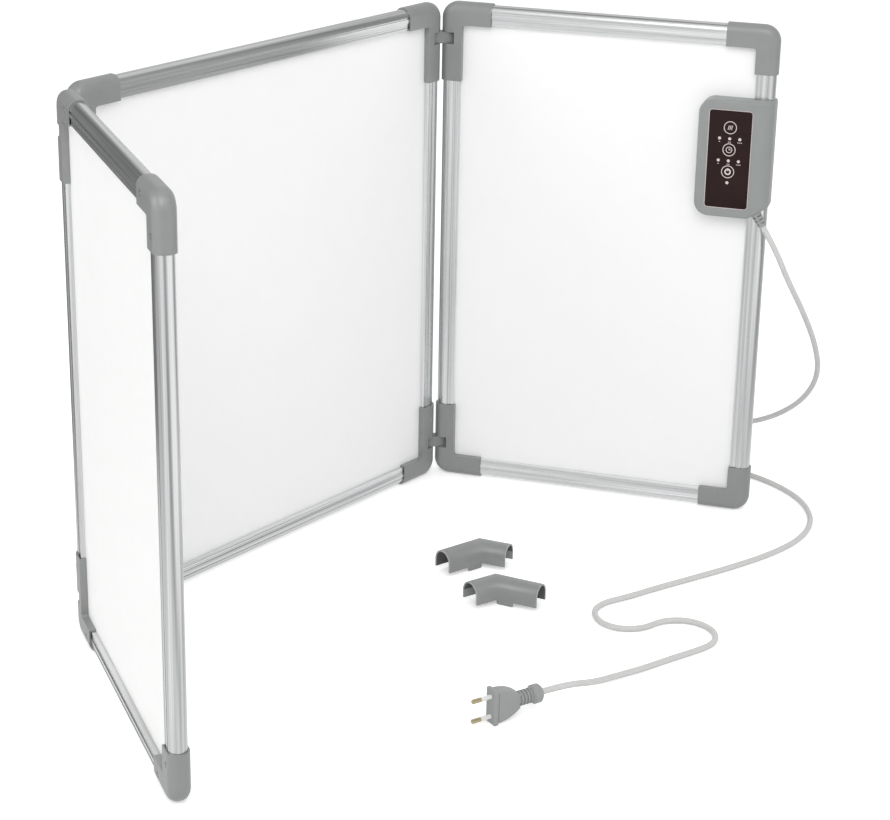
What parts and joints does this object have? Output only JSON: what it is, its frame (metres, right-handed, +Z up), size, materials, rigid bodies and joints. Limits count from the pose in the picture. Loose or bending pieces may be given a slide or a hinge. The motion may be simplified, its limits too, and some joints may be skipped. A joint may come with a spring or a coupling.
{
  "type": "foldable infrared heater",
  "caption": "Folding under-desk radiant heater: framed flat heating panels on double hinges, touch control box, mains cord with plug, and loose angle clips.",
  "frame": {"origin": "middle of the panels, clips and control box seen from above, on the floor they stand on", "axes": "+Z up, +X along the centre panel towards the panel with the control box, the heating faces look towards -Y"},
  "size_m": [0.9771, 0.4684, 0.5],
  "materials": {
    "frame_aluminium": "satin anodised",
    "corner_plastic": "fine grained",
    "link_plastic": "fine grained",
    "panel_front": "smooth satin",
    "panel_back": "fine texture",
    "heating_film": "printed carbon",
    "cutout_case": "satin",
    "screw_steel": "zinc plated",
    "pin_steel": "ground",
    "box_plastic": "fine grained",
    "overlay_gloss": "gloss",
    "board": "lacquered",
    "light_pipe": "clear",
    "relief_plastic": "moulded",
    "cord_sheath": "smooth",
    "plug_plastic": "moulded",
    "sleeve_plastic": "smooth",
    "pin_brass": "plated",
    "clip_plastic": "fine grained"
  },
  "bodies": {
    "centre_panel": {"centre_rail_top": "frame_aluminium", "centre_rail_bottom": "frame_aluminium", "centre_rail_left": "frame_aluminium", "centre_rail_right": "frame_aluminium", "centre_front_sheet": "panel_front", "centre_heating_film": "heating_film", "centre_back_sheet": "panel_back", "centre_thermal_cutout": "cutout_case", "centre_corner_top_left": "corner_plastic", "centre_corner_top_right": "corner_plastic", "centre_corner_bottom_left": "corner_plastic", "centre_corner_bottom_right": "corner_plastic", "centre_hinge_pins": "pin_steel", "angle_clip_a": "clip_plastic", "angle_clip_b": "clip_plastic"},
    "left_links": {"left_link_top": "link_plastic", "left_link_bottom": "link_plastic"},
    "left_panel": {"left_rail_top": "frame_aluminium", "left_rail_bottom": "frame_aluminium", "left_rail_left": "frame_aluminium", "left_rail_right": "frame_aluminium", "left_front_sheet": "panel_front", "left_heating_film": "heating_film", "left_back_sheet": "panel_back", "left_thermal_cutout": "cutout_case", "left_corner_top_left": "corner_plastic", "left_corner_top_right": "corner_plastic", "left_corner_bottom_left": "corner_plastic", "left_corner_bottom_right": "corner_plastic", "left_hinge_pins": "pin_steel"},
    "right_links": {"right_link_top": "link_plastic", "right_link_bottom": "link_plastic"},
    "right_panel": {"right_rail_top": "frame_aluminium", "right_rail_bottom": "frame_aluminium", "right_rail_left": "frame_aluminium", "right_rail_right": "frame_aluminium", "right_front_sheet": "panel_front", "right_heating_film": "heating_film", "right_back_sheet": "panel_back", "right_thermal_cutout": "cutout_case", "right_corner_top_left": "corner_plastic", "right_corner_top_right": "corner_plastic", "right_corner_bottom_left": "corner_plastic", "right_corner_bottom_right": "corner_plastic", "right_hinge_pins": "pin_steel", "control_housing": "box_plastic", "control_rear_cover": "box_plastic", "touch_overlay": "overlay_gloss", "circuit_board": "board", "indicator_lights": "light_pipe", "housing_screws": "screw_steel", "strain_relief": "relief_plastic", "power_cord": "cord_sheath", "plug_body": "plug_plastic", "plug_pins": "pin_brass", "pin_sleeves": "sleeve_plastic"}
  },
  "joints": [
    {"name": "right_link_hinge", "type": "hinge", "parent": "centre_panel", "child": "right_links", "pos_m": [0.25083, 0.15356, 0], "axis": [0, 0, 1], "range_deg": [-11.5, 123.5], "deforming": ["power_cord"]},
    {"name": "right_panel_hinge", "type": "hinge", "parent": "right_links", "child": "right_panel", "pos_m": [0.26718, 0.14274, 0], "axis": [0, 0, 1], "range_deg": [-11.5, 123.5], "deforming": ["power_cord"]},
    {"name": "left_link_hinge", "type": "hinge", "parent": "centre_panel", "child": "left_links", "pos_m": [-0.21796, 0.15356, 0], "axis": [0, 0, 1], "range_deg": [-75, 60]},
    {"name": "left_panel_hinge", "type": "hinge", "parent": "left_links", "child": "left_panel", "pos_m": [-0.23494, 0.14376, 0], "axis": [0, 0, 1], "range_deg": [-75, 60]}
  ]
}
